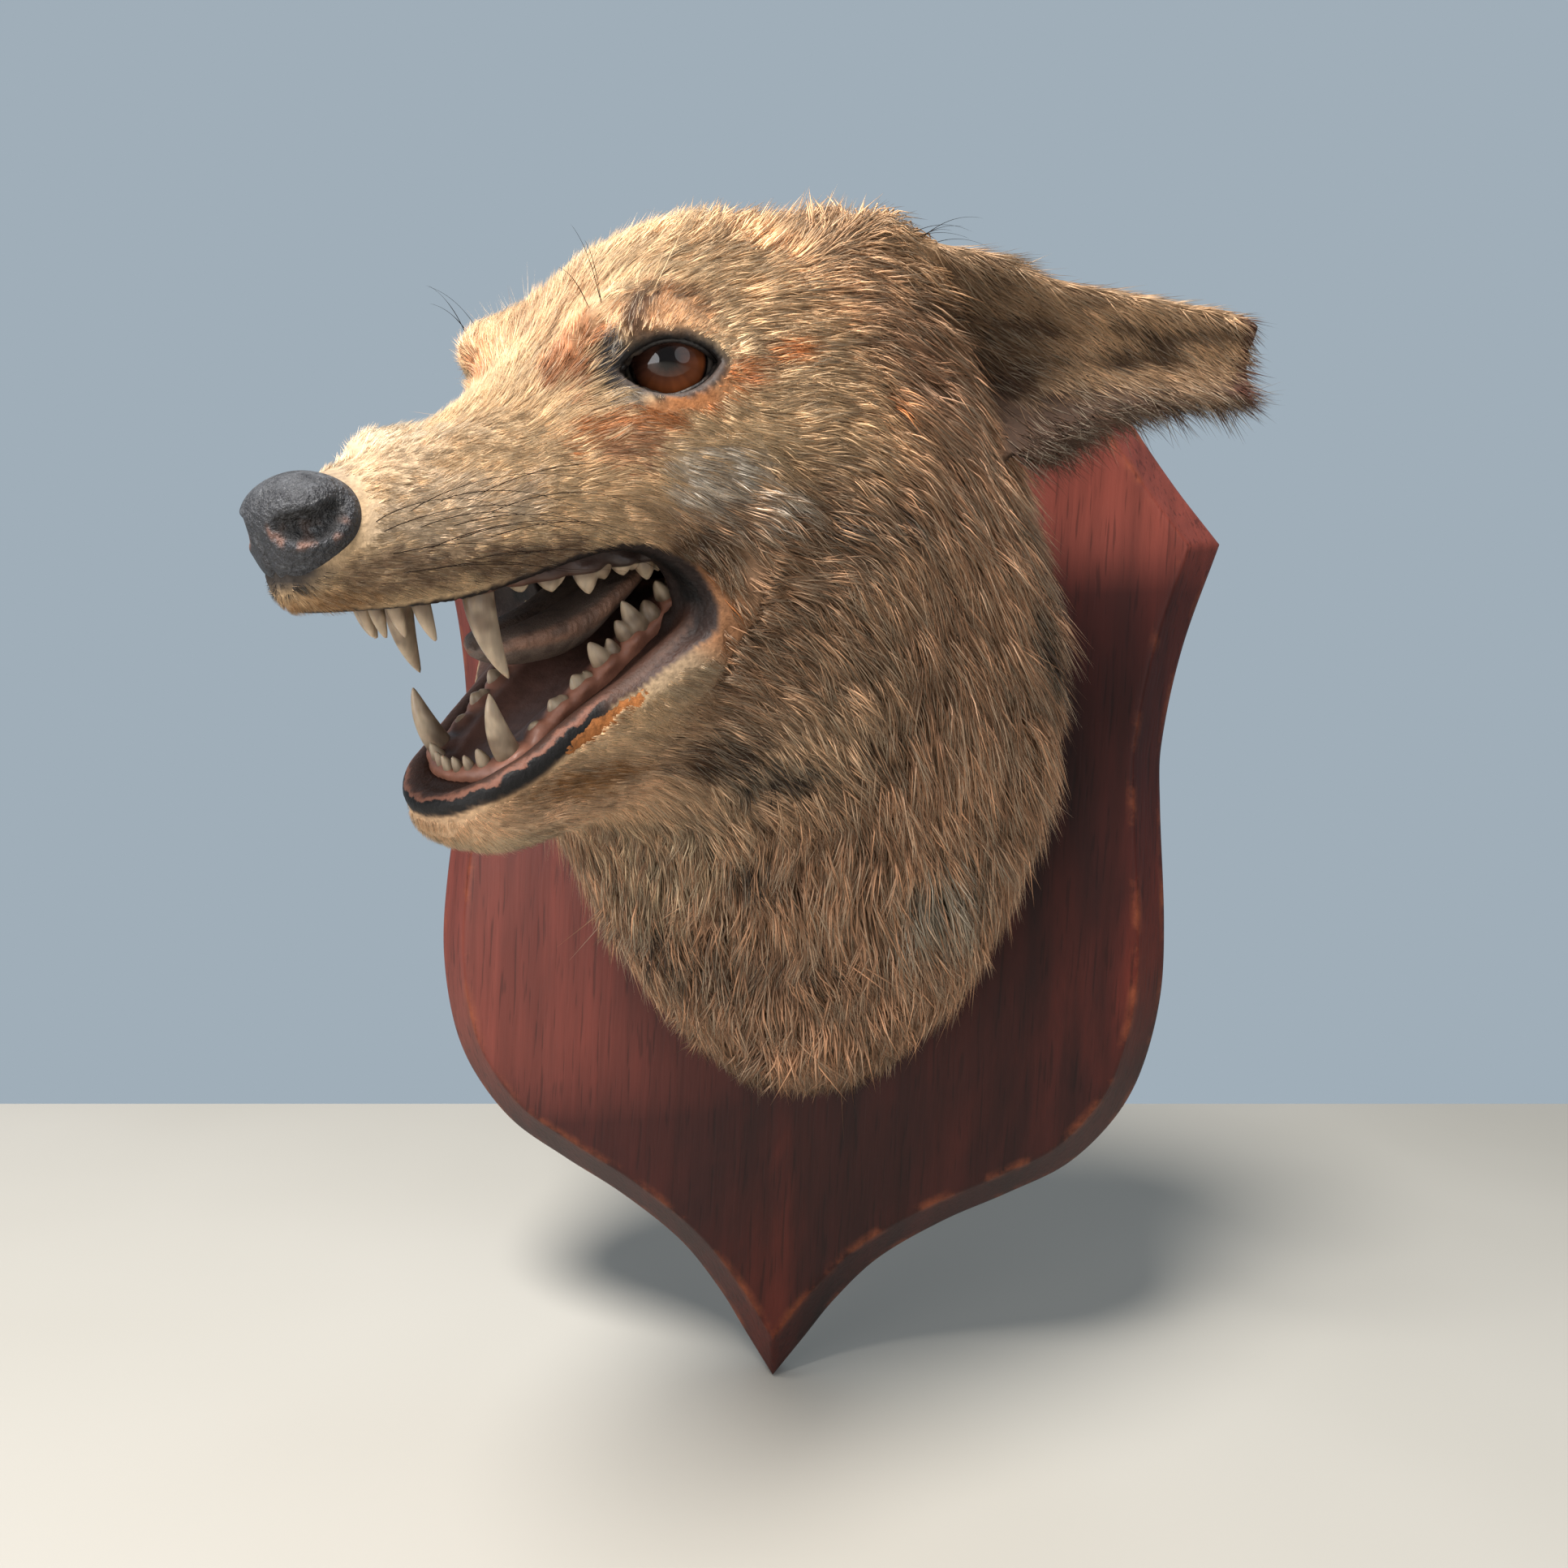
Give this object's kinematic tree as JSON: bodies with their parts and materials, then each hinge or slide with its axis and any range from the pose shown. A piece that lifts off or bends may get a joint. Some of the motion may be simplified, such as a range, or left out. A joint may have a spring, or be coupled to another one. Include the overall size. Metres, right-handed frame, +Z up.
{
  "type": "taxidermy fox",
  "caption": "Head and neck of a snarling red fox mounted on a wooden trophy shield that hangs flat on a wall.",
  "frame": {"origin": "centre of the shield's back face: halfway up the shield, on its centre line, in the plane that lies on the wall", "axes": "+Y points into the wall, out of the shield's back face; +Z is up; +X is to the right of a viewer who faces the mount"},
  "size_m": [0.2456, 0.1905, 0.3455],
  "materials": {
    "coat": "matte",
    "nose": "satin",
    "lips": "satin",
    "eye": "gloss",
    "teeth": "satin",
    "gums": "satin",
    "tongue": "satin",
    "shield": "satin"
  },
  "bodies": {
    "root": {"neck": "coat", "head": "coat", "muzzle": "coat", "lower_jaw": "coat", "ear_left": "coat", "ear_right": "coat", "nose": "nose", "eye_left": "eye", "eye_right": "eye", "upper_teeth": "teeth", "lower_teeth": "teeth", "tongue": "tongue", "shield": "shield"}
  },
  "joints": []
}
